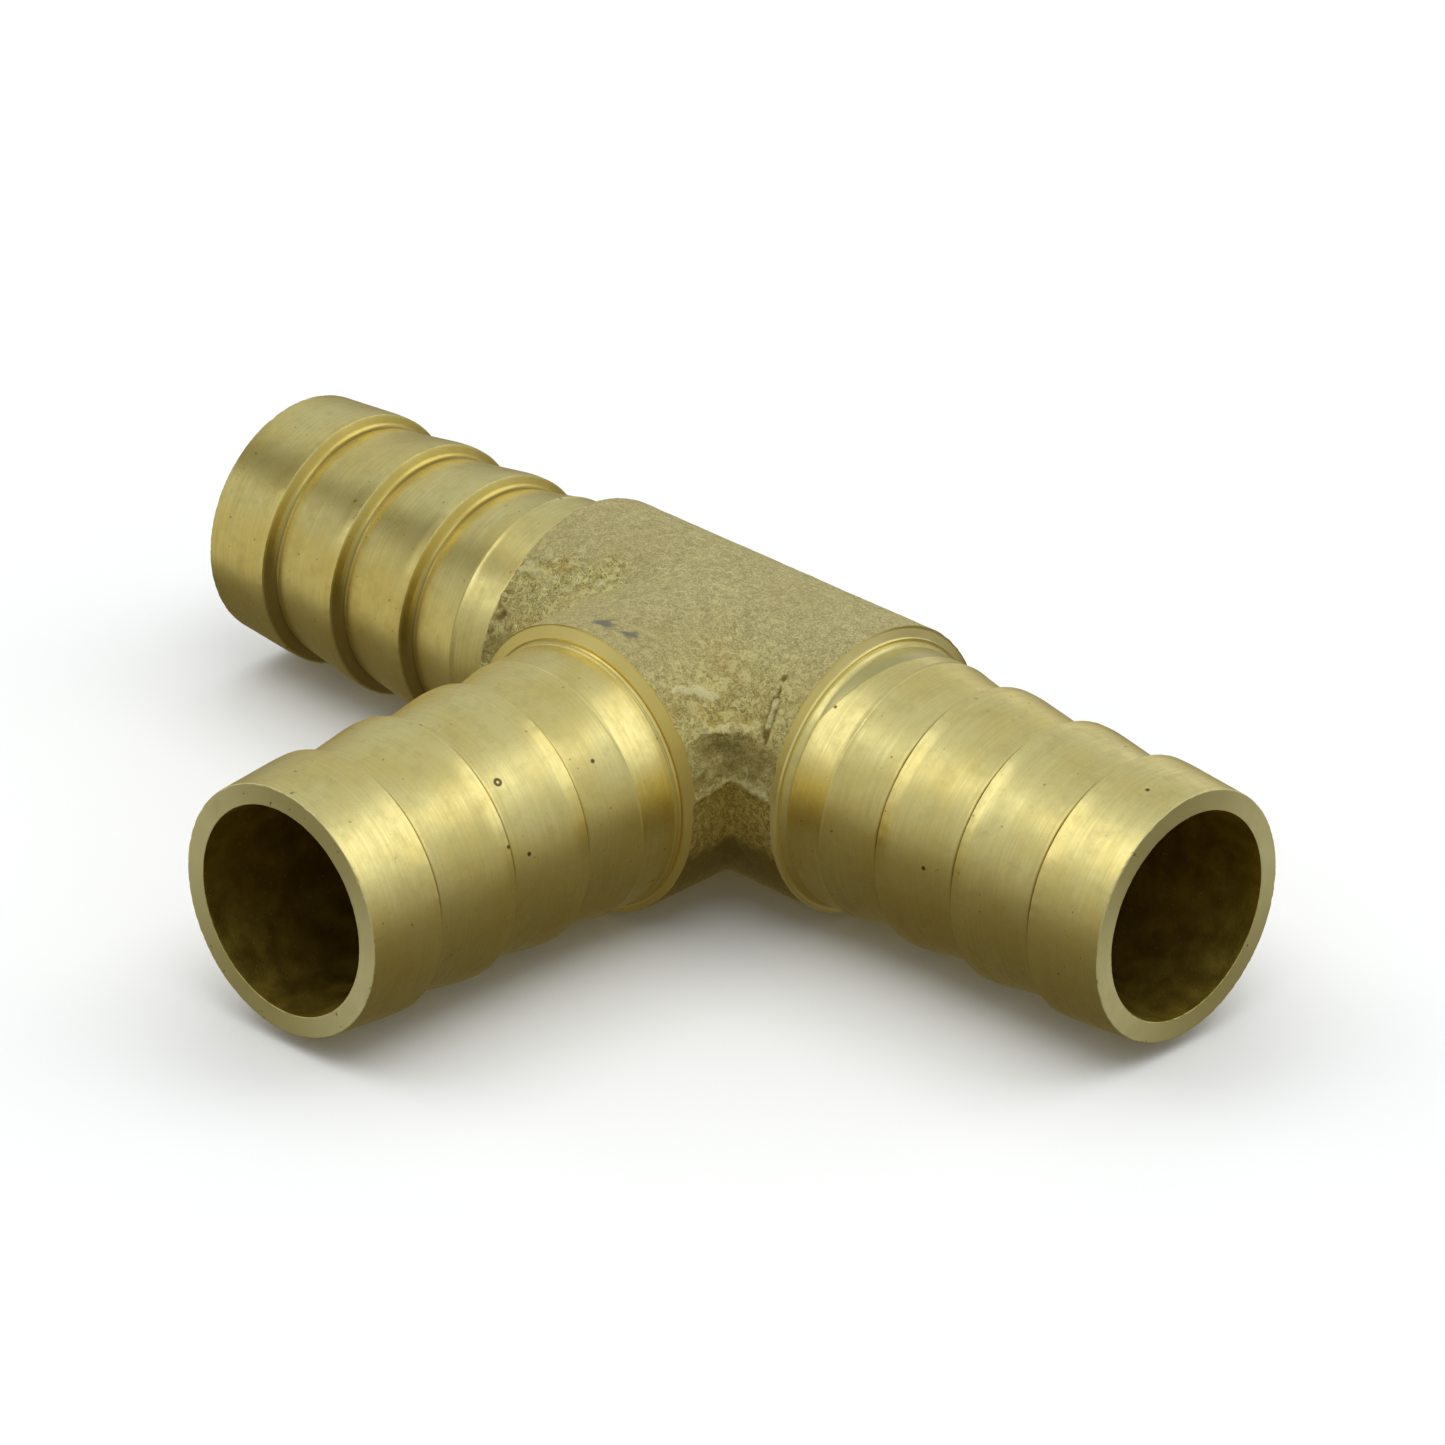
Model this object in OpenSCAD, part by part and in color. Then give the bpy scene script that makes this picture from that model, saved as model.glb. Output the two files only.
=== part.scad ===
// Equal barbed tee for 19 mm hose: a hot-forged brass body that holds three turned brass tails.
// The two run tails lie along X and the branch tail points along -Y.
// The origin is where the axes of run and branch cross, and +Z is up when the tee lies flat.

/* [Bore] */

// Diameter of the water passage through body and tails
bore_d = 16; // [13:0.5:16.5]

/* [Tail] */

// Length of a tail from the body's face to its tip
tail_l = 30.3; // [29:0.1:36]
// Diameter over the crests of the barbs
crest_d = 20.1; // [19.6:0.1:20.6]
// Diameter at the foot of each barb
foot_d = 18.2; // [17.8:0.1:19]
// Diameter at the tip
tip_d = 19.2; // [18.6:0.1:19.5]
// Number of barbs on a tail
barbs = 3; // [1:1:3]
// Distance from one barb to the next
barb_pitch = 7.4; // [6.5:0.1:8]
// Length of a barb's steep back, which faces the body
barb_back_l = 0.5; // [0.4:0.1:1]
// Length of the cylindrical crest behind a barb's edge
barb_crest_l = 0.9; // [0.4:0.1:1.5]
// Length of the nose between the outermost barb's edge and the tip
nose_l = 6.2; // [4:0.1:7]
// Length from the body's face to the end of the plain land
root_land_l = 3.8; // [2:0.1:4.5]
// Diameter of the low collar between the body's face and the land
collar_d = 20.7; // [20.4:0.1:21]
// Length of that collar
collar_l = 0.5; // [0.3:0.1:0.8]
// Edge break on the tip's outer and inner edges
tip_break = 0.1; // [0.05:0.05:0.3]

/* [Seat of a tail in the body] */

// Diameter of the spigot that is pressed into the body
spigot_d = 18.4; // [17.6:0.1:19]
// Length of the spigot
spigot_l = 4.5; // [3:0.1:5]
// Edge break at a socket's mouth, which leads the spigot in
mouth_break = 0.3; // [0.1:0.05:0.4]
// Edge break at a tail's root, which shows as a fine line where it meets the body
root_break = 0.1; // [0.05:0.05:0.25]

/* [Body] */

// Diameter of the forging round run and branch
body_d = 22.8; // [22:0.1:24]
// Distance from the crossing of the axes to each machined face
face_l = 15.2; // [14.8:0.1:17]
// Edge break round each machined face of the body
face_break = 0.45; // [0.2:0.05:0.6]
// Distance from the crossing of the axes to the flat front of the web in each crotch
web_front_l = 15.6; // [15.2:0.1:16]
// Height of that web's lower side above the plane of the axes
web_low_z = 1.6; // [1:0.1:2.5]
// Thickness of that web, which the trimmed flash leaves
web_t = 4.5; // [3:0.1:5]

/* [Hidden] */

$fn = 96;
overlap = 1;
forged_brass = [0.58, 0.51, 0.28];
turned_brass = [0.80, 0.71, 0.42];
right = [0, 90, 0];
left = [0, -90, 0];
front = [90, 0, 0];
ways = [right, left, front];
bore_r = bore_d / 2;
crest_r = crest_d / 2;
collar_r = collar_d / 2;
foot_r = foot_d / 2;
tip_r = tip_d / 2;
spigot_r = spigot_d / 2;
body_r = body_d / 2;

// How far a barb's edge lies from the body's face, counted from the tip inwards
function barb_edge(i) = tail_l - nose_l - i * barb_pitch;

// The outline of a barb from its foot to the end of its crest, as [radius, distance]
function barb_outline(i) = [
    [foot_r, barb_edge(i) - barb_back_l],
    [crest_r, barb_edge(i)],
    [crest_r, barb_edge(i) + barb_crest_l]
];

// A tail along +Z: z = 0 is the plane where it meets the body's face
module tail() {
    rotate_extrude()
        polygon(concat(
            [[bore_r, -spigot_l], [spigot_r, -spigot_l], [spigot_r, 0]],
            [[collar_r - root_break, 0], [collar_r, root_break], [collar_r, collar_l]],
            [[crest_r, collar_l], [crest_r, root_land_l]],
            [for (i = [barbs - 1 : -1 : 0]) each barb_outline(i)],
            [[tip_r, tail_l - tip_break], [tip_r - tip_break, tail_l]],
            [[bore_r + tip_break, tail_l], [bore_r, tail_l - tip_break]]
        ));
}

// One arm of the forging along +Z, with its machined face at the end
module arm() {
    cylinder(h = face_l - face_break, r = body_r);
    translate([0, 0, face_l - face_break])
        cylinder(h = face_break, r1 = body_r, r2 = body_r - face_break);
}

// The passage, the socket and its broken edge, cut into the arm along +Z
module arm_cut() {
    cylinder(h = face_l + overlap, r = bore_r);
    translate([0, 0, face_l - spigot_l])
        cylinder(h = spigot_l + overlap, r = spigot_r);
    translate([0, 0, face_l - mouth_break])
        cylinder(h = mouth_break, r1 = spigot_r, r2 = spigot_r + mouth_break);
}

// What the trimmed flash leaves in the crotch between the branch and the right arm
module crotch_web() {
    corner = web_front_l * sqrt(2) - face_l;
    translate([0, 0, web_low_z])
        linear_extrude(height = web_t)
            polygon([[0, 0], [face_l, 0], [face_l, -corner], [corner, -face_l], [0, -face_l]]);
}

module tee_body() {
    color(forged_brass)
        difference() {
            union() {
                for (way = ways) rotate(way) arm();
                crotch_web();
                mirror([1, 0, 0]) crotch_web();
            }
            for (way = ways) rotate(way) arm_cut();
        }
}

// A tail seated in the arm that points the given way
module seated_tail(way) {
    rotate(way)
        translate([0, 0, face_l])
            tail();
}

module run_tail_right() {
    color(turned_brass) seated_tail(right);
}

module run_tail_left() {
    color(turned_brass) seated_tail(left);
}

module branch_tail() {
    color(turned_brass) seated_tail(front);
}

tee_body();
run_tail_right();
run_tail_left();
branch_tail();
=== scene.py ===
"""Looks of the barbed brass tee: a grainy forged body with machined ends, and three turned tails.

All sizes are in millimetres until a mesh is made, and the axes are the CAD's: the run lies along X,
the branch points along -Y and +Z is up.
"""
import math
from itertools import product

import bmesh
import bpy
import numpy as np
from mathutils import Matrix, Vector


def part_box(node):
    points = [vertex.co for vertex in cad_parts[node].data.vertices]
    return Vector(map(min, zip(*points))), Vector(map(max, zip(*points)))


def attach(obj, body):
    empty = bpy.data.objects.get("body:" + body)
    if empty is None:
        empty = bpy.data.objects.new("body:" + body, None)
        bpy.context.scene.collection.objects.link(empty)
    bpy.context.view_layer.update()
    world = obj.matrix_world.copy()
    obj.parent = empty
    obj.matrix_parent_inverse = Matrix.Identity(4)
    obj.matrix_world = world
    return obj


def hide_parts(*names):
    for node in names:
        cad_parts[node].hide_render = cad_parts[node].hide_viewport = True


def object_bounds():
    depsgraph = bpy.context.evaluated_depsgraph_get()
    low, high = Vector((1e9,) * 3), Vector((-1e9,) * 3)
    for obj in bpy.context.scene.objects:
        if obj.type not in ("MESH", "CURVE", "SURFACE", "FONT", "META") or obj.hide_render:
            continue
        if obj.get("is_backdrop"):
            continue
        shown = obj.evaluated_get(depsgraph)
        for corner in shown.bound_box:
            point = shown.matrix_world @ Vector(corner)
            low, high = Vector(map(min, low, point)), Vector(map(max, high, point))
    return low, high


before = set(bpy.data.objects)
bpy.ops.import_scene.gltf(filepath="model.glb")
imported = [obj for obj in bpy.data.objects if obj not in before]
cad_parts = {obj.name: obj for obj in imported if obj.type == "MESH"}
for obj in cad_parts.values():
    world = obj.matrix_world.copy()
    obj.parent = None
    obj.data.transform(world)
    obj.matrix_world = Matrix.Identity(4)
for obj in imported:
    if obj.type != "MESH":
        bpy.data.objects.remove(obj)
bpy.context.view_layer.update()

MM = 0.001
CLEAR = 0.01  # how far the shapes stay inside the CAD's box
UP = np.array((0.0, 0.0, 1.0))

# Sizes that the frame gives
TEE_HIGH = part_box("tee_body")[1] / MM
TAIL_LOW, TAIL_HIGH = (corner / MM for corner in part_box("run_tail_right"))
FACE = TEE_HIGH.x  # from the crossing of the axes to each machined face
BODY_R = TEE_HIGH.z
SEAT = TAIL_LOW.x  # from the crossing of the axes to a spigot's inner end
TIP = TAIL_HIGH.x
COLLAR_R = TAIL_HIGH.z

# The tails' other sizes
BORE_R = 8.0
SPIGOT_R = 9.2
CREST_R = 10.05
FOOT_R = 9.1
TIP_R = 9.6
LAND_L = 3.8
BARBS = 3
BARB_PITCH = 7.4
BACK_L = 0.5
CREST_L = 0.9
NOSE_L = 6.2

# Each arm's axis, and the way from it towards the camera's side of the tee
ARMS = {
    "run_tail_right": (np.array((1.0, 0, 0)), np.array((0, -1.0, 0))),
    "run_tail_left": (np.array((-1.0, 0, 0)), np.array((0, -1.0, 0))),
    "branch_tail": (np.array((0, -1.0, 0)), np.array((1.0, 0, 0))),
}
SEEDS = {name: 100 * number + 7 for number, name in enumerate(ARMS)}


# ---------------------------------------------------------------- shapes


def waves(angle, seed, low, high, size):
    """A smooth ripple round the axis, of about that size, with low to high waves in a turn."""
    rng = np.random.default_rng(seed)
    count = np.arange(low, high + 1)
    phase = rng.uniform(0, 2 * math.pi, len(count))
    share = rng.uniform(0.4, 1, len(count)) / math.sqrt(len(count))
    return size * float(np.sum(share * np.sin(count * angle + phase)))


def rounded(corners, steps=4):
    """The closed outline through corners (along, radius, rounding), each one rounded by an arc."""
    points = []
    total = len(corners)
    for i, (along, radius, rounding) in enumerate(corners):
        corner = np.array((along, radius))
        before = np.array(corners[i - 1][:2]) - corner
        after = np.array(corners[(i + 1) % total][:2]) - corner
        reach_before = min(rounding, 0.45 * np.linalg.norm(before))
        reach_after = min(rounding, 0.45 * np.linalg.norm(after))
        start = corner + before / np.linalg.norm(before) * reach_before
        end = corner + after / np.linalg.norm(after) * reach_after
        for t in np.linspace(0, 1, steps + 1):
            points.append((1 - t) ** 2 * start + 2 * t * (1 - t) * corner + t * t * end)
    return np.array(points)


def spread(outline, pieces_per_side, steps=4):
    """The outline with its straight sides cut up, closely at their ends, so that shading stays true."""
    points = []
    stride = steps + 1
    ease = np.linspace(0, 1, pieces_per_side + 2)[1:-1]
    cuts = np.concatenate(([0.02], 0.02 + 0.96 * ease, [0.98]))
    for i in range(0, len(outline), stride):
        points.extend(outline[i : i + stride])
        here = outline[i + steps]
        there = outline[(i + stride) % len(outline)]
        points.extend(here + (there - here) * t for t in cuts)
    return np.array(points)


def lathe(name, axis, side, outline_at, turns):
    """A closed ring turned round axis. outline_at gives the outline (along, radius) at each angle,
    which counts from straight up towards side."""
    angles = np.arange(turns) * 2 * math.pi / turns
    rings = []
    for angle in angles:
        outline = outline_at(angle)
        out = UP * math.cos(angle) + side * math.sin(angle)
        rings.append(outline[:, :1] * axis + outline[:, 1:] * out)
    count = len(rings[0])
    verts = np.concatenate(rings) * MM
    ring, place = np.meshgrid(np.arange(turns), np.arange(count), indexing="ij")
    next_ring, next_place = (ring + 1) % turns, (place + 1) % count
    faces = np.stack(
        (
            ring * count + place,
            next_ring * count + place,
            next_ring * count + next_place,
            ring * count + next_place,
        ),
        axis=-1,
    ).reshape(-1, 4)
    return new_mesh(name, verts, faces)


def put(name, data):
    """A new object in the scene with the given mesh, light or camera."""
    piece = bpy.data.objects.new(name, data)
    bpy.context.scene.collection.objects.link(piece)
    return piece


def new_mesh(name, verts, faces):
    """A smooth-shaded object with its faces turned outwards."""
    mesh = bpy.data.meshes.new(name)
    mesh.from_pydata(verts.tolist(), [], faces.tolist())
    tidy = bmesh.new()
    tidy.from_mesh(mesh)
    bmesh.ops.recalc_face_normals(tidy, faces=tidy.faces)
    tidy.to_mesh(mesh)
    tidy.free()
    mesh.shade_smooth()
    return put(name, mesh)


# ---------------------------------------------------------------- tails


# Corners of a tail's root: along the axis, radius, rounding
RUN_ROOT = [  # a coved step down from the body's bevel
    (FACE, COLLAR_R - 0.02, 0.02),
    (FACE + 0.14, COLLAR_R - 0.05, 0.05),
    (FACE + 0.5, CREST_R + 0.03, 0.25),
]
BRANCH_ROOT = [  # two fine steps
    (FACE, COLLAR_R - 0.2, 0.01),
    (FACE + 0.08, COLLAR_R - 0.1, 0.03),
    (FACE + 0.22, COLLAR_R - 0.22, 0.03),
    (FACE + 0.42, COLLAR_R - 0.2, 0.04),
    (FACE + 0.5, CREST_R - 0.03, 0.05),
]
CUT_START = 0.58  # how far past the face the cut of a run tail's land begins
ASKEW_L = 1.9  # how much further it begins on one side of the right tail,
ASKEW_SIDE = -0.45  # which is at this angle


def barb_edge(i, angle, seed):
    """Where the edge of a barb lies along the axis, counted from the tip inwards."""
    return TIP - NOSE_L - i * BARB_PITCH + waves(angle, seed + i, 1, 4, 0.02)


def cut_start(angle, name):
    """How far past the face a run tail's own cut begins, which runs a little askew on the right."""
    width = ASKEW_L if name == "run_tail_right" else 0.0
    turn = math.remainder(angle - ASKEW_SIDE, 2 * math.pi)
    askew = width * max(math.cos(1.3 * turn), 0) ** 0.9
    return CUT_START + askew + waves(angle, SEEDS[name] + 60, 1, 3, 0.02)


def root_corners(angle, name):
    """Corners from a tail's spigot to the end of its land at an angle round it."""
    corners = [(SEAT, BORE_R, 0.05), (SEAT, SPIGOT_R, 0.15), (FACE, SPIGOT_R, 0)]
    if name == "branch_tail":
        corners += BRANCH_ROOT
    else:
        start = FACE + cut_start(angle, name)
        corners += RUN_ROOT
        corners += [(start, CREST_R - 0.05, 0.04), (start + 0.06, CREST_R - 0.02, 0.04)]
    ripple = 0.35 * math.cos(angle) + waves(angle, SEEDS[name], 1, 3, 0.12)
    land_end = FACE + LAND_L + ripple
    corners += [
        (land_end - 0.3, CREST_R - 0.04, 0.2),
        (land_end, CREST_R - 0.01, 0.04),
        (land_end + 0.12, CREST_R - 0.07, 0.1),
    ]
    return corners


def tail_corners(angle, name):
    """Corners of a tail's whole outline at an angle round it."""
    seed = SEEDS[name]
    corners = root_corners(angle, name)
    for i in range(BARBS - 1, -1, -1):
        edge = barb_edge(i, angle, seed)
        burr = waves(angle, seed + 10 + i, 20, 70, 0.01)
        crest = CREST_R - 0.02 + waves(angle, seed + 20 + i, 2, 6, 0.012)
        corners += [
            (edge - BACK_L, FOOT_R + 0.02, 0.4),
            (edge, crest + burr, 0.02),
            (edge + CREST_L, crest - 0.01, 0.5),
        ]
    ragged = abs(waves(angle, seed + 40, 9, 80, 0.055))
    corners += [
        (TIP - 0.02 - ragged, TIP_R, 0.03),
        (TIP - CLEAR, TIP_R - 0.05 - ragged, 0.02),
        (TIP - CLEAR, BORE_R + 0.01 + ragged, 0.01),
        (TIP - 0.04, BORE_R, 0.01),
    ]
    return corners


def places(mesh):
    """The vertices' positions in millimetres."""
    flat = np.empty(3 * len(mesh.vertices))
    mesh.vertices.foreach_get("co", flat)
    return flat.reshape(-1, 3) / MM


def mark(mesh, name, values):
    """Gives each vertex a number that the shading can read."""
    layer = mesh.attributes.new(name, "FLOAT", "POINT")
    layer.data.foreach_set("value", np.asarray(values, np.float32))


def mark_turning(mesh, name):
    """Marks the faced tip, a run tail's band of painted dark reflection, and painted shade behind the
    barbs.
    """
    axis, side = ARMS[name]
    points = places(mesh)
    along = points @ axis
    angles = np.arctan2(points @ side, points @ UP)
    steps = np.linspace(-math.pi, math.pi, 361)
    painted_back_shade, painted_deep_shade = np.zeros((2, len(points)))
    # painted shade on each barb's back, and a deeper painted shade at its foot
    for i in range(BARBS):
        edges = [barb_edge(i, angle, SEEDS[name]) for angle in steps]
        behind = np.interp(angles, steps, edges) - along
        painted_back_shade = np.maximum(painted_back_shade, np.interp(behind, (0.02, 0.1, 0.6, 0.8), (0, 1, 1, 0)))
        painted_deep_shade = np.maximum(painted_deep_shade, np.interp(behind, (0.45, 0.6, 0.78, 0.9), (0, 1, 1, 0)))
    # the painted shade turns deeper on the tails' undersides
    under = step_up(np.abs(angles), 0.6, 1.4)
    if name != "branch_tail":
        past = along - FACE
        reach = np.interp(angles, steps, [cut_start(angle, name) for angle in steps])
        # a painted dark reflection on the band between a run tail's cove and the start of its cut
        mark(mesh, "painted_cove_reflection", step_up(past, 0.5, 0.6) * step_up(reach - past, -0.04, 0.04))
    mark(mesh, "faced", step_up(along, TIP - 0.06, TIP - 0.03))
    mark(mesh, "painted_back_shade", painted_back_shade * (1 - 0.8 * under))
    mark(mesh, "painted_deep_shade", np.maximum(painted_deep_shade, 0.8 * painted_back_shade * under))


def line_bores(mesh):
    """Gives the faces of the water passage the drilled finish."""
    wall = BORE_R + 0.02
    mesh.materials.append(drilled)
    centres = np.empty(3 * len(mesh.polygons))
    mesh.polygons.foreach_get("center", centres)
    x, y, z = centres.reshape(-1, 3).T / MM
    in_run = np.hypot(y, z) < wall
    in_branch = (np.hypot(x, z) < wall) & (y < 0)
    for face, bored in zip(mesh.polygons, in_run | in_branch):
        if bored:
            face.material_index = len(mesh.materials) - 1


def tail(name):
    """One turned tail, which stands in for the CAD's node of that name."""
    axis, side = ARMS[name]

    def outline_at(angle):
        return spread(rounded(tail_corners(angle, name)), 5)

    piece = lathe(name + "_turned", axis, side, outline_at, turns=288)
    piece.data.materials.append(brass["Y" if name == "branch_tail" else "X"])
    line_bores(piece.data)
    mark_turning(piece.data, name)
    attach(piece, "root")
    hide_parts(name)


# ---------------------------------------------------------------- body


FORGED_R = BODY_R - 0.31
FORGED_LIFT = 0.29  # the forging's own axis stands this far above the bores' axes,
FORGED_BACK = 0.12  # and this far behind them
GRID_STEP = 0.2
WEB_FRONT = 15.7  # along the crotch's diagonal, to the flat front that the trimmed flash leaves
WEB_LOW = 1.6
WEB_HIGH = 6.1
WEB_INNER = 4  # the web's inner ends, from either axis, deep inside the forging
OVER = 4  # how far the cutters reach past the forging
OUTSIDE = BODY_R + OVER
ON_AXIS = 0.001  # the least radius, because a turned ring can't close on its own axis
SHARP = math.radians(20)

# Places on the forging's skin
TORN = ((-14.9, -8.4, 7.4), (-13.0, -7.0, 8.8), (-10.5, -6.2, 9.4), (-7.2, -5.2, 10.1))
FLAKE = ((7.3, -12.9, 8.8), (7.7, -12.0, 8.5), (8.1, -11.0, 8.0), (8.5, -10.2, 7.6))
LAP = ((12.1, -6.6, 9.1), (12.7, -8.6, 7.2), (13.2, -9.8, 5.4))
TONGUE = ((12.5, -7.9, 7.9), (12.9, -9.1, 6.5))
LEDGE = ((9.5, -12.4, 6.2), (10.6, -11.0, 6.1), (11.8, -9.3, 6.1))
SMUDGES = (((-0.4, -13.0, 11.3), (0.4, -12.8, 11.3)), ((1.6, -12.7, 11.2), (2.0, -12.5, 11.2)))
PITS = (
    (-14.6, -10.2, 4.5),
    (-14.2, -9.5, 5.6),
    (10.3, -11.6, 6.9),
    (9.7, -12.3, 7.4),
    (10.6, -10.4, 7.2),
)


def smooth_min(a, b, blend):
    """The lesser of a and b, with a round valley where they are within blend of each other."""
    h = np.clip(0.5 + 0.5 * (b - a) / blend, 0, 1)
    return b + (a - b) * h - blend * h * (1 - h)


def greatest(*fields):
    """The greatest of some fields at each point."""
    result = fields[0]
    for field in fields[1:]:
        result = np.maximum(result, field)
    return result


def body_field(x, y, z):
    """Distance to the forging's skin, negative inside, before the machining."""
    height = z - FORGED_LIFT
    run = np.hypot(y - FORGED_BACK, height) - FORGED_R
    branch = np.maximum(np.hypot(x, height) - FORGED_R, y)
    steepness = np.clip(1 - (height / FORGED_R) ** 2, 0.02, 1)
    blend = 0.05 + steepness * np.interp(height, (-8, 0, 4, 8), (0.4, 0.4, 1.2, 3.0))
    skin = smooth_min(run, branch, blend)
    diagonal = (np.abs(x) - y) / math.sqrt(2) - WEB_FRONT
    across = (np.abs(x) + y) / math.sqrt(2)
    high = WEB_HIGH + 0.25 * np.sin(2.3 * across + 1) + 0.12 * np.sin(6.1 * across) - 0.12 * across
    low = WEB_LOW + 0.12 * np.sin(4.7 * across)
    web = greatest(diagonal, z - high, low - z, y + WEB_INNER, WEB_INNER - np.abs(x))
    return smooth_min(skin, web, 0.3)


def lumps(points, size, seed):
    """Smooth noise in space between -1 and 1, with lumps of about the given size."""
    side = 32
    values = np.random.default_rng(seed).uniform(-1, 1, (side, side, side))
    place = points / size + 7.3 * seed
    cell = np.floor(place).astype(int)
    part = place - cell
    part = part * part * (3 - 2 * part)
    total = np.zeros(len(points))
    for shift in product((0, 1), repeat=3):
        share = np.prod(np.where(np.array(shift, bool), part, 1 - part), axis=1)
        total += share * values[tuple(((cell + shift) % side).T)]
    return total


def creases(points, size, seed):
    """Noise between -1 and 1 with narrow valleys and broad tops."""
    return 1 - 2 * (1 - np.abs(lumps(points, size, seed))) ** 3


def near(points, path, radius, fade, ragged=0.0):
    """1 within radius of the path through some places, falling to 0 over fade."""
    best = np.full(len(points), np.inf)
    for start, end in zip(path, path[1:]):
        start, end = np.array(start), np.array(end)
        way = end - start
        share = np.clip((points - start) @ way / (way @ way), 0, 1)
        best = np.minimum(best, np.linalg.norm(points - start - share[:, None] * way, axis=1))
    best += ragged * (lumps(points, 0.9, 21) + 0.6 * lumps(points, 0.4, 22))
    return np.clip((radius + fade - best) / fade, 0, 1)


def step_up(value, low, high):
    """0 up to low, 1 from high on, and a ramp between them."""
    return np.clip((value - low) / (high - low), 0, 1)


def crotch(points):
    """1 in the corners between the branch and the run, falling to 0 outside them."""
    x, y = points.T[:2]
    return step_up(np.minimum(np.abs(x), -y), 4.5, 9.5)


def above_parting(points):
    """1 above the line where the dies met, which peaks in the crotch's corner, 0 below it."""
    x, y, z = points.T
    across = np.abs(np.abs(x) + y) / math.sqrt(2)
    line = WEB_LOW - 0.2 + 0.7 * np.exp(-across / 1.2) + 0.15 * lumps(points, 1.1, 31)
    return step_up(z - line, -0.06, 0.06)


def lap_grooves(points):
    """The thin grooves round a tongue of metal that was folded over in the dies."""
    tongue = near(points, TONGUE, 0.18, 0.1, 0.15)
    grooves = np.maximum(near(points, LAP, 0.06, 0.12, 0.25), near(points, TONGUE, 0.30, 0.1, 0.15))
    return np.clip(grooves - tongue, 0, 1)


def torn_skin(points):
    """1 on the patch of torn skin, which has a ragged edge."""
    return near(points, TORN, 1.3, 0.25, 0.9)


def web_rim(points, above, thickness):
    """1 along the lower edge of the webs' fronts, at a height above WEB_LOW, fading up and down."""
    band = np.exp(-(((points[:, 2] - WEB_LOW - above) / thickness) ** 2))
    return band * crotch(points) * above_parting(points)


def pits(points, radius, fade, ragged):
    """For each pit, 1 within radius of it, falling to 0 over fade."""
    return [near(points, (pit, np.array(pit) + 0.15), radius, fade, ragged) for pit in PITS]


def relief(points):
    """How far the forged skin stands out at each point, in millimetres."""
    height = 0.02 * lumps(points, 0.45, 1) + 0.02 * lumps(points, 0.9, 2)
    height += 0.04 * lumps(points, 4.0, 3)
    corner = crotch(points) * step_up(points[:, 2], WEB_LOW - 0.1, WEB_LOW + 0.1)
    height += corner * (0.06 * creases(points, 1.2, 4) + 0.05 * creases(points, 0.6, 5))
    height += crotch(points) * (0.16 * above_parting(points) - 0.05)
    height += web_rim(points, 0.25, 0.25) * (0.08 + 0.1 * lumps(points, 0.5, 6))
    rough = 0.1 * creases(points, 1.0, 7) + 0.08 * creases(points, 0.5, 8) - 0.1
    height += torn_skin(points) * rough
    height += 0.12 * near(points, FLAKE, 0.4, 0.2, 0.3) + 0.08 * near(points, LEDGE, 0.2, 0.2, 0.3)
    height -= 0.2 * lap_grooves(points)
    for pit in pits(points, 0.15, 0.25, 0.1):
        height -= 0.2 * pit
    return height


def cell_corner(values, shift):
    """The values at one corner of every cell of a grid. shift is the corner's place in the cell."""
    return values[tuple(slice(s, s + n - 1) for s, n in zip(shift, values.shape))]


def cell_vertices(field, crossed):
    """The middle of the places where the edges of each crossed cell cut the surface, in cells."""
    total = np.zeros((crossed.sum(), 3))
    count = np.zeros(len(total))
    for start in product((0, 1), repeat=3):
        for way in range(3):
            if start[way]:
                continue
            end = tuple(1 if i == way else s for i, s in enumerate(start))
            a = cell_corner(field, start)[crossed]
            b = cell_corner(field, end)[crossed]
            cut = (a < 0) != (b < 0)
            point = np.tile(np.array(start, float), (len(total), 1))
            point[:, way] = a / np.where(cut, a - b, 1)
            total += point * cut[:, None]
            count += cut
    return np.argwhere(crossed) + total / count[:, None]


def cell_quads(inside, index, way):
    """A quad across each of the grid's edges along one axis that cuts the surface."""
    one, two = (i for i in range(3) if i != way)
    this_end = [slice(1, -1)] * 3
    this_end[way] = slice(0, -1)
    other_end = list(this_end)
    other_end[way] = slice(1, None)
    cut = np.argwhere(inside[tuple(this_end)] != inside[tuple(other_end)])
    cut[:, one] += 1
    cut[:, two] += 1
    ring = []
    for step_one, step_two in ((0, 0), (-1, 0), (-1, -1), (0, -1)):
        cell = cut.copy()
        cell[:, one] += step_one
        cell[:, two] += step_two
        ring.append(index[tuple(cell.T)])
    return np.stack(ring, axis=-1)


def surface_net(field, low, step):
    """Vertices and quads of the surface where a grid of values crosses 0, one vertex for each cell."""
    inside = field < 0
    filled = sum(cell_corner(inside, s).astype(np.int8) for s in product((0, 1), repeat=3))
    crossed = (filled > 0) & (filled < 8)
    index = np.full(crossed.shape, -1)
    index[crossed] = np.arange(crossed.sum())
    verts = cell_vertices(field, crossed) * step + low
    return verts, np.concatenate([cell_quads(inside, index, way) for way in range(3)])


def forging():
    """The forged skin, run out past the three faces, before relief and machining."""
    reach = FACE + 1.6
    margin = 0.6
    low = np.array((-reach, -reach, -BODY_R)) - margin
    high = np.array((reach, BODY_R, BODY_R)) + margin
    spans = [np.arange(a, b, GRID_STEP) for a, b in zip(low, high)]
    x, y, z = np.meshgrid(*spans, indexing="ij")
    ends = np.maximum(np.abs(x) - reach, -y - reach)
    return surface_net(np.maximum(body_field(x, y, z), ends), low, GRID_STEP)


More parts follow.
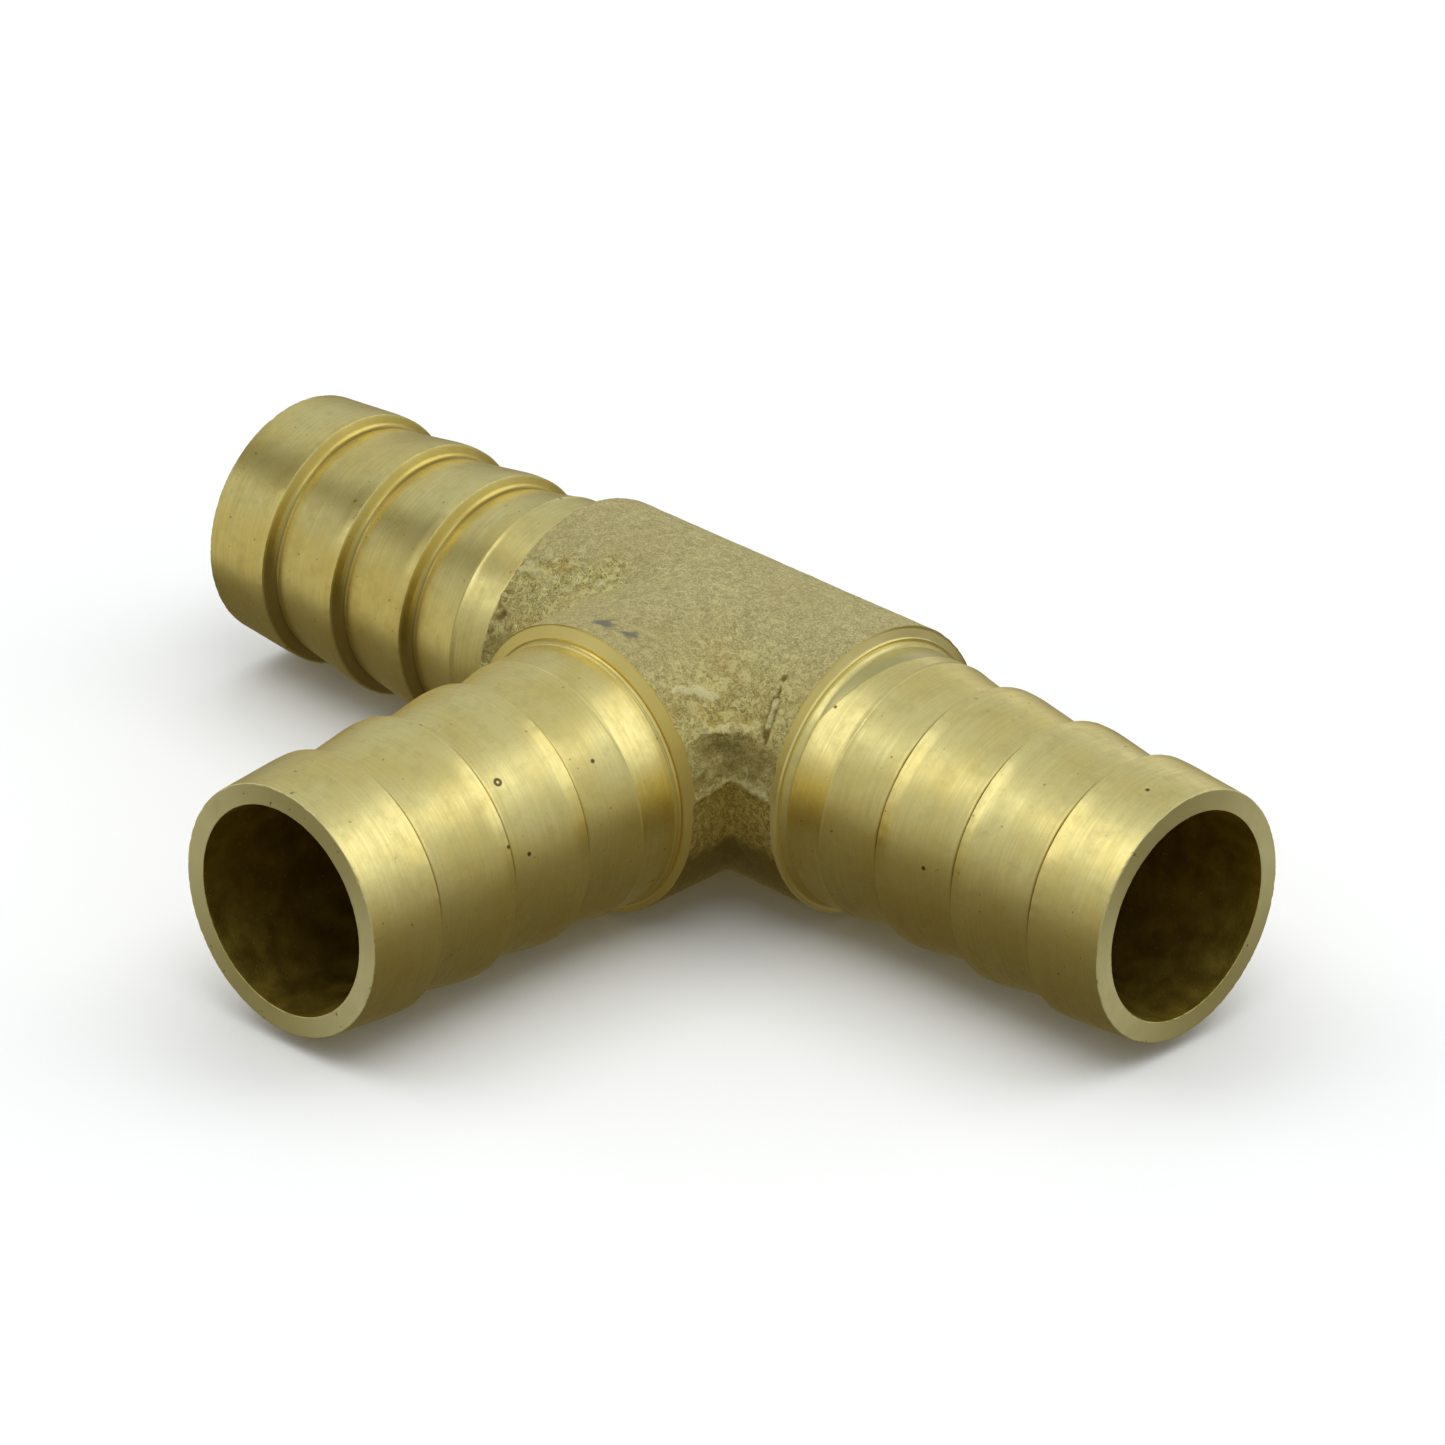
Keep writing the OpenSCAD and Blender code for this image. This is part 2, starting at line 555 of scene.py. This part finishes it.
# What turning leaves round each arm's face: distance along the axis, radius
RUN_SHOULDER = (
    (FACE, COLLAR_R + 0.20),
    (FACE - 0.04, COLLAR_R + 0.24),
    (FACE - 0.16, COLLAR_R + 0.26),
    (FACE - 0.38, BODY_R - 0.2),
    (FACE - 0.38, OUTSIDE),
)
BRANCH_SHOULDER = (
    (FACE, COLLAR_R + 0.05),
    (FACE - 0.42, FORGED_R + 0.15),
    (FACE - 0.42, OUTSIDE),
)


def cutter(name):
    """What turning takes off the arm of a tail: outside its shoulder, and out of its socket and bore."""
    axis, side = ARMS[name]
    shoulder = BRANCH_SHOULDER if name == "branch_tail" else RUN_SHOULDER
    inner = 0.0 if name == "branch_tail" else -0.5
    corners = np.array(
        (
            (inner, ON_AXIS),
            (inner, BORE_R),
            (SEAT, BORE_R),
            (SEAT, SPIGOT_R),
            (FACE, SPIGOT_R),
            *shoulder,
            (FACE + OVER, OUTSIDE),
            (FACE + OVER, ON_AXIS),
        )
    )
    return lathe("cutter_" + name, axis, side, lambda angle: corners, turns=360)


def outward(points):
    """The direction that points away from the forging at each point."""
    shifts = 0.05 * np.eye(3)
    slopes = [body_field(*(points + d).T) - body_field(*(points - d).T) for d in shifts]
    ways = np.stack(slopes, axis=-1)
    return ways / np.linalg.norm(ways, axis=1)[:, None]


def refine(mesh):
    """Halves the grid round the flakes, laps and torn skin, which are finer than its step."""
    fine = bmesh.new()
    fine.from_mesh(mesh)
    points = places(mesh)
    close = near(points, TORN, 1.8, 0.01)
    for path in (FLAKE, LAP, TONGUE, LEDGE):
        close = np.maximum(close, near(points, path, 0.9, 0.01))
    edges = [edge for edge in fine.edges if all(close[vert.index] > 0 for vert in edge.verts)]
    bmesh.ops.subdivide_edges(fine, edges=edges, cuts=1, use_grid_fill=True)
    fine.to_mesh(mesh)
    fine.free()


def tee():
    """The forged body with its relief, before the machining."""
    verts, quads = forging()
    piece = new_mesh("tee_body_forged", verts * MM, quads)
    refine(piece.data)
    verts = places(piece.data)
    ends = np.maximum(np.abs(verts[:, 0]), -verts[:, 1]) > FACE + 1.2
    height = np.where(ends, 0, relief(verts))
    verts = verts + outward(verts) * height[:, None]
    verts[:, 2] = np.clip(verts[:, 2], -BODY_R + CLEAR, BODY_R - CLEAR)
    verts[:, 1] = np.minimum(verts[:, 1], BODY_R - CLEAR)
    piece.data.vertices.foreach_set("co", (verts * MM).ravel())
    piece.data.update()
    return piece


def bared_skin_and_highlight(points):
    """1 where the skin is freshly bared: flakes, the webs' rims and part of the torn patch; and a painted
    highlight along the ledge.
    """
    x, y = points.T[:2]
    patches = step_up(lumps(points, 0.5, 11) + 0.3 * np.sign(x + y), -0.1, 0.3)
    return greatest(
        near(points, FLAKE, 0.42, 0.1, 0.35),
        0.6 * near(points, TONGUE, 0.14, 0.15, 0.2),
        # a painted highlight along the ledge's edge
        0.9 * near(points, LEDGE, 0.2, 0.12, 0.3),
        web_rim(points, 0.4, 0.45) * patches,
        0.6 * torn_skin(points) * step_up(lumps(points, 0.7, 12), 0.0, 0.4),
    )


def shade_and_scale(points, under):
    """1 for painted shade low in the crotches and on the webs' fronts, and where the blasting did not
    reach: dark scale in the hollows.
    """
    z = points[:, 2]
    # painted shade on the webs' fronts
    front = crotch(points) * step_up(z, 2.0, 3.2) * step_up(-z, -5.9, -5.0)
    front *= step_up(lumps(points, 1.0, 13), -0.5, 0.3)
    # painted shade, darker towards the bottom of the crotches
    low = under * step_up(-z - 0.4 * lumps(points, 0.8, 15), 2.6, 3.4)
    return greatest(low, 0.6 * front, lap_grooves(points), *pits(points, 0.1, 0.3, 0.15))


def mark_skin(mesh):
    """Marks the forging's skin where its colour or its grain is different."""
    points = places(mesh)
    corner = crotch(points)
    under = corner * (1 - above_parting(points))
    rugged = corner * step_up(lumps(points, 2.0, 14), -0.8, 0.0)
    mark(mesh, "corner", corner)
    mark(mesh, "under", under)
    mark(mesh, "coarse", np.maximum(torn_skin(points), rugged))
    mark(mesh, "bright", bared_skin_and_highlight(points))
    # painted shade low in the crotches and on the webs' fronts, and dark scale in the laps and pits
    mark(mesh, "painted_shade_and_scale", shade_and_scale(points, under))
    mark(mesh, "smudge", greatest(*(near(points, path, 0.25, 0.5, 0.6) for path in SMUDGES)))


def machine(piece):
    """Cuts the ends, sockets and bores, whose surfaces get their own material."""
    run_end = machined_brass("run", *RUN_END)
    branch_end = machined_brass("branch", *BRANCH_END)
    tools = []
    for name in ARMS:
        tool = cutter(name)
        tool.data.materials.append(branch_end if name == "branch_tail" else run_end)
        tools.append(tool)
        cut = piece.modifiers.new(name, "BOOLEAN")
        cut.operation = "DIFFERENCE"
        cut.solver = "MANIFOLD"
        cut.material_mode = "TRANSFER"
        cut.object = tool
    scene_graph = bpy.context.evaluated_depsgraph_get()
    done = bpy.data.meshes.new_from_object(piece.evaluated_get(scene_graph))
    piece.modifiers.clear()
    piece.data = done
    for tool in tools:
        bpy.data.objects.remove(tool)
    sharpen(done)


def sharpen(mesh):
    """Keeps the edges crisp between forged skin and machined faces, and within the machined ones."""
    tidy = bmesh.new()
    tidy.from_mesh(mesh)
    for edge in tidy.edges:
        sides = edge.link_faces
        if len(sides) != 2:
            continue
        kinds = {face.material_index for face in sides}
        if len(kinds) == 2 or (kinds != {0} and edge.calc_face_angle(0) > SHARP):
            edge.smooth = False
    for face in tidy.faces:
        face.smooth = True
    tidy.to_mesh(mesh)
    tidy.free()


# ---------------------------------------------------------------- materials


class Shading:
    """A material whose nodes are added by name."""

    def __init__(self, name):
        self.material = bpy.data.materials.new(name)
        self.material.use_nodes = True
        self.tree = self.material.node_tree
        self.surface = self.tree.nodes["Principled BSDF"]

    def add(self, kind, values=None, output=0, **settings):
        """Adds a node. values maps an input's name or number to its value or to another node's output."""
        node = self.tree.nodes.new("ShaderNode" + kind)
        for key, value in settings.items():
            setattr(node, key, value)
        self.fill(node, values or {})
        return node.outputs[output]

    def fill(self, node, values):
        for key, value in values.items():
            if isinstance(value, bpy.types.NodeSocket):
                self.tree.links.new(value, node.inputs[key])
            else:
                node.inputs[key].default_value = value

    def position(self):
        """Object coordinates in millimetres."""
        coords = self.add("TexCoord", output="Object")
        return self.add("VectorMath", {0: coords, "Scale": 1 / MM}, operation="SCALE")

    def noise(self, where, scale, detail=2.0, roughness=0.5, distortion=0.0):
        values = {"Vector": where, "Scale": scale, "Detail": detail}
        values.update({"Roughness": roughness, "Distortion": distortion})
        return self.add("TexNoise", values)

    def stretch(self, value, low, high, to_low=0.0, to_high=1.0):
        """Maps low..high to to_low..to_high, held at both ends."""
        return self.add("MapRange", {0: value, 1: low, 2: high, 3: to_low, 4: to_high})

    def mix(self, share, one, two):
        node = self.tree.nodes.new("ShaderNodeMix")
        node.data_type = "RGBA"
        self.fill(node, {0: share, 6: one, 7: two})
        return node.outputs[2]

    def mark(self, name, most=1.0):
        """The number that a vertex was marked with, times most."""
        return self.math("MULTIPLY", self.add("Attribute", output="Fac", attribute_name=name), most)

    def math(self, operation, one, two=0.0):
        return self.add("Math", {0: one, 1: two}, operation=operation)

    def bump(self, height, distance, strength=1.0, normal=None):
        values = {"Height": height, "Distance": distance, "Strength": strength}
        if normal:
            values["Normal"] = normal
        return self.add("Bump", values)


def colour(red, green, blue):
    return (red, green, blue, 1.0)


# The turned tails
BRIGHT = colour(0.94, 0.82, 0.35)
GOLDEN = colour(0.90, 0.74, 0.26)
OLIVE = colour(0.66, 0.57, 0.22)
PAINTED_COVE_REFLECTION = colour(0.52, 0.47, 0.22)  # painted dark reflection, between a run tail's cove and its askew land
FACED = colour(1.0, 0.95, 0.58)  # the tip's flat face
# painted shade on the barbs' backs, and deeper painted shade at their feet and on the undersides
PAINTED_BACK_SHADE = colour(0.72, 0.55, 0.13)
PAINTED_DEEP_SHADE = colour(0.24, 0.16, 0.03)
STAIN = colour(0.30, 0.23, 0.09)
PIT = colour(0.12, 0.09, 0.04)

# Other machined surfaces, each in two blotchy shades
RUN_END = (colour(0.92, 0.81, 0.38), colour(0.98, 0.88, 0.45))
BRANCH_END = (GOLDEN, colour(0.92, 0.78, 0.30))
DRILLED = (colour(0.54, 0.40, 0.07), colour(0.62, 0.48, 0.08))

# The forging: hollows and high spots of its plain skin, of its rugged skin and under the parting line
TAN = (colour(0.44, 0.37, 0.15), colour(0.98, 0.87, 0.45))
LIME = (colour(0.48, 0.39, 0.13), colour(1.0, 0.93, 0.47))
EARTH = (colour(0.46, 0.34, 0.07), colour(0.78, 0.64, 0.22))
WARM = colour(0.64, 0.50, 0.19)
RUST = colour(0.72, 0.52, 0.17)
# painted shade low in the crotches and on the webs' fronts, and dark scale in the laps and pits
UMBER_SHADE_AND_SCALE = colour(0.32, 0.24, 0.06)
CREASE = colour(0.26, 0.20, 0.06)
SMUDGE = colour(0.20, 0.20, 0.19)
# bared metal of flakes, rims and torn skin, and the painted highlight along the ledge
BARED_AND_HIGHLIGHT = colour(1.0, 0.94, 0.56)

SPOTS = {  # ringed and plain pits of tarnish on the tails along Y and X: centre and the ring's radius
    "Y": (
        ((6.2, -30.0, 7.0), 0.22),
        ((9.1, -29.7, 2.2), 0.05),
        ((9.3, -32.0, 3.7), 0.04),
        ((7.4, -21.6, 6.1), 0.05),
    ),
    "X": (((16.4, -5.9, 8.2), 0.04), ((28.7, -9.5, 1.0), 0.05), ((42.7, -1.6, 9.7), 0.05)),
}


def turning_lines(s, axis):
    """The position, and another one in which noise is drawn out into fine rings round the axis."""
    place = s.position()
    parts = s.tree.nodes.new("ShaderNodeSeparateXYZ")
    s.fill(parts, {0: place})
    along = parts.outputs["XYZ".index(axis)]
    across = (0, 1, 1) if axis == "X" else (1, 0, 1)
    flat = s.add("VectorMath", {0: place, 1: across}, operation="MULTIPLY")
    radius = s.add("VectorMath", {0: flat}, output="Value", operation="LENGTH")
    depth = s.math("ADD", along, s.math("MULTIPLY", radius, 1.3))
    slow = s.add("VectorMath", {0: flat, "Scale": 0.025}, operation="SCALE")
    apart = s.tree.nodes.new("ShaderNodeCombineXYZ")
    s.fill(apart, {0: depth, 1: 0.0, 2: 0.0})
    rings = s.add("VectorMath", {0: slow, 1: apart.outputs[0]}, operation="ADD")
    return place, rings


def turned_colour(s, axis, place, fine, cloud):
    """Brass in the shades that a tail was marked with, and with its blotches and specks."""
    blotch = s.noise(place, 0.16, 4, 0.6)
    base = s.mix(s.stretch(blotch, 0.42, 0.62), BRIGHT, GOLDEN)
    base = s.mix(s.stretch(cloud, 0.48, 0.72, 0, 0.6), base, OLIVE)
    base = s.mix(s.stretch(fine, 0.38, 0.62, 0, 0.4), base, OLIVE)
    # painted dark reflection on a run tail's band past its cove
    base = s.mix(s.mark("painted_cove_reflection", 0.75), base, PAINTED_COVE_REFLECTION)
    base = s.mix(s.mark("faced", 0.85), base, FACED)
    # painted shade on the barbs' backs, deeper at their feet and on the undersides
    base = s.mix(s.mark("painted_back_shade", 0.8), base, PAINTED_BACK_SHADE)
    base = s.mix(s.mark("painted_deep_shade", 0.8), base, PAINTED_DEEP_SHADE)
    specks = s.noise(place, 1.9, 1)
    base = s.mix(s.stretch(specks, 0.76, 0.80, 0, 0.7), base, STAIN)
    for centre, reach in SPOTS[axis]:
        away = s.add("VectorMath", {0: place, 1: centre}, output="Value", operation="DISTANCE")
        ring = s.stretch(s.math("ABSOLUTE", s.math("SUBTRACT", away, reach)), 0.07, 0.16, 0.95, 0)
        base = s.mix(ring, base, PIT)
    return base


def turned_brass(axis):
    """Satin brass off the lathe, with rings round the axis, blotches and specks of tarnish."""
    s = Shading("turned_brass_" + axis.lower())
    place, rings = turning_lines(s, axis)
    fine = s.noise(rings, 4.2, 4, 0.75)
    broad = s.noise(rings, 1.3, 3, 0.6)
    cloud = s.noise(place, 0.7, 5, 0.7)
    rough = s.stretch(s.math("ADD", cloud, s.math("MULTIPLY", fine, 0.8)), 0.7, 1.1, 0.27, 0.37)
    rough = s.math("ADD", rough, s.mark("faced", 0.3))
    relief = s.math("ADD", s.math("MULTIPLY", fine, 0.7), s.math("MULTIPLY", broad, 0.5))
    dents = s.bump(s.noise(place, 0.45, 3, 0.5), 0.03 * MM, 0.4)
    s.fill(
        s.surface,
        {
            "Base Color": turned_colour(s, axis, place, fine, cloud),
            "Metallic": 1.0,
            "Roughness": rough,
            "Anisotropic": 0.5,
            "Tangent": s.add("Tangent", direction_type="RADIAL", axis=axis),
            "Normal": s.bump(relief, 0.013 * MM, 0.5, dents),
        },
    )
    return s.material


def machined_brass(name, one, two):
    """One of the body's turned ends, with its socket, in two blotchy shades."""
    s = Shading("machined_brass_" + name)
    place = s.position()
    cloud = s.noise(place, 0.35, 3)
    base = s.mix(s.stretch(cloud, 0.3, 0.7), one, two)
    s.fill(
        s.surface,
        {
            "Base Color": base,
            "Metallic": 1.0,
            "Roughness": s.stretch(cloud, 0.3, 0.7, 0.34, 0.46),
            "Normal": s.bump(s.noise(place, 9, 2), 0.01 * MM, 0.3),
        },
    )
    return s.material


def drilled_brass():
    """The water passage: as drilled, dark with tarnish, with a few bright specks."""
    s = Shading("drilled_brass")
    place = s.position()
    cloud = s.noise(place, 0.5, 4, 0.6)
    fine = s.noise(place, 5.0, 2)
    base = s.mix(s.stretch(cloud, 0.35, 0.65), *DRILLED)
    base = s.mix(s.stretch(s.noise(place, 5.0, 1), 0.70, 0.76), base, GOLDEN)
    s.fill(
        s.surface,
        {
            "Base Color": base,
            "Metallic": 1.0,
            "Roughness": s.stretch(cloud, 0.3, 0.7, 0.4, 0.55),
            "Normal": s.bump(fine, 0.03 * MM, 0.6),
        },
    )
    return s.material


def vein(s, place, scale, detail, roughness, distortion, width):
    """1 on thin winding lines, falling to 0 beside them."""
    noise = s.noise(place, scale, detail, roughness, distortion)
    away = s.math("ABSOLUTE", s.math("SUBTRACT", noise, 0.5))
    return s.stretch(away, 0.0, width, 1, 0)


def forged_colour(s, place, height, rugged, coarse, creased):
    """Brass that is brighter on its high spots, in the shades that the skin was marked with."""
    tan = s.mix(s.stretch(height, 0.34, 0.66), *TAN)
    lime = s.mix(s.stretch(height, 0.34, 0.56), *LIME)
    base = s.mix(rugged, tan, lime)
    drift = s.noise(place, 0.12, 3)
    base = s.mix(s.stretch(drift, 0.4, 0.65, 0, 0.25), base, WARM)
    patchy = s.noise(place, 0.45, 4, 0.6)
    rust = s.math("MULTIPLY", s.stretch(patchy, 0.52, 0.66, 0, 0.55), coarse)
    base = s.mix(rust, base, RUST)
    earth = s.mix(s.stretch(height, 0.4, 0.6), *EARTH)
    base = s.mix(s.mark("under", 0.95), base, earth)
    # painted shade low in the crotches and on the webs' fronts, and dark scale in the laps and pits
    base = s.mix(s.mark("painted_shade_and_scale", 0.85), base, UMBER_SHADE_AND_SCALE)
    base = s.mix(s.math("MULTIPLY", creased, 0.4), base, CREASE)
    base = s.mix(s.mark("smudge", 0.75), base, SMUDGE)
    # bared metal, and the painted highlight along the ledge
    bared_and_highlit = s.math("MULTIPLY", s.mark("bright"), s.stretch(height, 0.28, 0.46, 0.5, 0.98))
    return s.mix(bared_and_highlit, base, BARED_AND_HIGHLIGHT)


def forged_brass():
    """Shot-blasted forging skin: a fine grain with brighter high spots and dull hollows."""
    s = Shading("forged_brass")
    place = s.position()
    grain = s.noise(place, 8.0, 4, 0.8)
    crumple = s.noise(place, 1.5, 8, 0.72, 1.2)
    coarse = s.mark("coarse")
    rugged = s.math("MAXIMUM", s.mark("corner"), coarse)
    creased = s.math("MULTIPLY", vein(s, place, 1.5, 3, 0.6, 0.8, 0.022), coarse)
    raised = s.math("MULTIPLY", vein(s, place, 2.1, 4, 0.65, 1.2, 0.04), coarse)
    swell = s.math("MULTIPLY", s.math("SUBTRACT", crumple, 0.5), s.stretch(rugged, 0, 1, 0.7, 1.5))
    height = s.math("ADD", grain, swell)
    height = s.math("SUBTRACT", height, s.math("MULTIPLY", creased, 0.25))
    height = s.math("ADD", height, s.math("MULTIPLY", raised, 0.15))
    s.fill(
        s.surface,
        {
            "Base Color": forged_colour(s, place, height, rugged, coarse, creased),
            "Metallic": 1.0,
            "Roughness": s.stretch(grain, 0.3, 0.7, 0.44, 0.56),
            "Normal": s.bump(height, 0.11 * MM, 1.0),
        },
    )
    return s.material


# ---------------------------------------------------------------- stage


def square(name, half, height=0.0):
    """A level square mesh, centred on the vertical axis."""
    mesh = bpy.data.meshes.new(name)
    corners = [(x * half, y * half, height) for x, y in ((-1, -1), (1, -1), (1, 1), (-1, 1))]
    mesh.from_pydata(corners, [], [(0, 1, 2, 3)])
    return mesh


def face_tee(holder, place):
    """Puts a light or a card at a place and turns it to face the tee."""
    holder.location = place
    holder.rotation_mode = "QUATERNION"
    holder.rotation_quaternion = Vector(place).to_track_quat("Z", "Y")


def floor(low_z):
    """A wide pale floor. Shiny pieces don't see it, so that it doesn't wash out their undersides."""
    piece = put("floor", square("floor", 4.0, low_z))
    s = Shading("pale_floor")
    s.fill(s.surface, {"Base Color": colour(0.9, 0.9, 0.9), "Roughness": 0.9})
    piece.data.materials.append(s.material)
    piece.visible_glossy = False
    piece.visible_shadow = False
    piece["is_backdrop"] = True


def panel(name, towards, distance, size, radiance, shiny=True):
    """A square soft light in the direction towards, aimed at the tee, as bright as radiance says."""
    lamp = bpy.data.lights.new(name, "AREA")
    lamp.size = size
    lamp.energy = radiance * math.pi * size * size
    holder = put(name, lamp)
    face_tee(holder, Vector(towards).normalized() * distance)
    holder.visible_glossy = shiny


def card(name, centre, size, shade):
    """A small square card that faces the tee, seen only in reflections, which it fills with a shade."""
    piece = put(name, square(name, size / 2))
    face_tee(piece, centre)
    s = Shading(name)
    s.fill(s.surface, {"Base Color": colour(0, 0, 0), "Roughness": 1.0})
    s.fill(s.surface, {"Emission Color": shade, "Emission Strength": 1.0})
    piece.data.materials.append(s.material)
    piece.visible_camera = False
    piece.visible_diffuse = False
    piece.visible_shadow = False
    piece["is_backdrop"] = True


SKY = (  # height of a direction, from -1 straight down to 1 straight up, and the dome's colour there
    (-1.0, colour(0.10, 0.085, 0.05)),
    (-0.25, colour(0.17, 0.145, 0.08)),
    (0.05, colour(0.36, 0.34, 0.28)),
    (0.3, colour(0.50, 0.52, 0.52)),
    (1.0, colour(0.55, 0.57, 0.57)),
)


def sky():
    """A pale dome, dim and warm below the horizon."""
    world = bpy.data.worlds.new("studio")
    bpy.context.scene.world = world
    world.use_nodes = True
    tree = world.node_tree
    coords = tree.nodes.new("ShaderNodeTexCoord")
    parts = tree.nodes.new("ShaderNodeSeparateXYZ")
    tree.links.new(coords.outputs["Generated"], parts.inputs[0])
    share = tree.nodes.new("ShaderNodeMapRange")
    share.inputs[1].default_value = -1
    ramp = tree.nodes.new("ShaderNodeValToRGB")
    stops = ramp.color_ramp.elements
    while len(stops) < len(SKY):
        stops.new(0.5)
    for stop, (height, tint) in zip(stops, SKY):
        stop.position = (height + 1) / 2
        stop.color = tint
    tree.links.new(parts.outputs[2], share.inputs[0])
    tree.links.new(share.outputs[0], ramp.inputs[0])
    tree.links.new(ramp.outputs[0], tree.nodes["Background"].inputs[0])


VIEW = (43.6, 27.2, 1.0)  # azimuth, elevation and roll, in degrees
VIEW_DISTANCE = 705.0
VIEW_AIM = (-0.3, -1.13)  # how far right of and above the axes' crossing the camera aims
LENS = 237.5


def camera():
    """A long lens from the front right, looking down on the tee."""
    azimuth, elevation, roll = (math.radians(angle) for angle in VIEW)
    back = Vector((math.sin(azimuth), -math.cos(azimuth), math.tan(elevation))) * math.cos(elevation)
    right = Vector((math.cos(azimuth), math.sin(azimuth), 0))
    up = back.cross(right)
    right, up = (
        right * math.cos(roll) + up * math.sin(roll),
        up * math.cos(roll) - right * math.sin(roll),
    )
    aim = right * VIEW_AIM[0] + up * VIEW_AIM[1]
    place = (aim + back * VIEW_DISTANCE) * MM
    lens = bpy.data.cameras.new("camera")
    lens.lens = LENS
    lens.sensor_width = 36.0
    lens.clip_start = 0.05
    lens.clip_end = 10.0
    turn = Matrix((right, up, back)).transposed().to_4x4()
    holder = put("camera", lens)
    holder.matrix_world = Matrix.Translation(place) @ turn
    bpy.context.scene.camera = holder


# ---------------------------------------------------------------- the scene

brass = {"X": turned_brass("X"), "Y": turned_brass("Y")}
drilled = drilled_brass()
for name in ARMS:
    tail(name)

body = tee()
body.data.materials.append(forged_brass())
machine(body)
line_bores(body.data)
mark_skin(body.data)
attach(body, "root")
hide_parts("tee_body")

camera()
sky()
panel("key_left", (-0.59, -0.41, 0.69), 0.8, 0.58, 0.76)
panel("key_back", (0.44, 0.60, 0.66), 0.8, 0.58, 0.76)
panel("crotch_light", (0.35, -0.32, 0.87), 0.8, 0.4, 0.9)
panel("back_wall", (-0.42, 0.88, 0.22), 0.8, 0.34, 0.3)
panel("floor_light", (0, 0, 1), 2.0, 3.0, 1.0, shiny=False)
card("flag", (-0.128, -0.047, 0.095), 0.075, colour(0.16, 0.15, 0.10))
card("reflector", (-0.075, -0.045, -0.006), 0.04, colour(0.50, 0.47, 0.34))

floor(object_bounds()[0].z)
bpy.context.scene.view_settings.view_transform = "Standard"
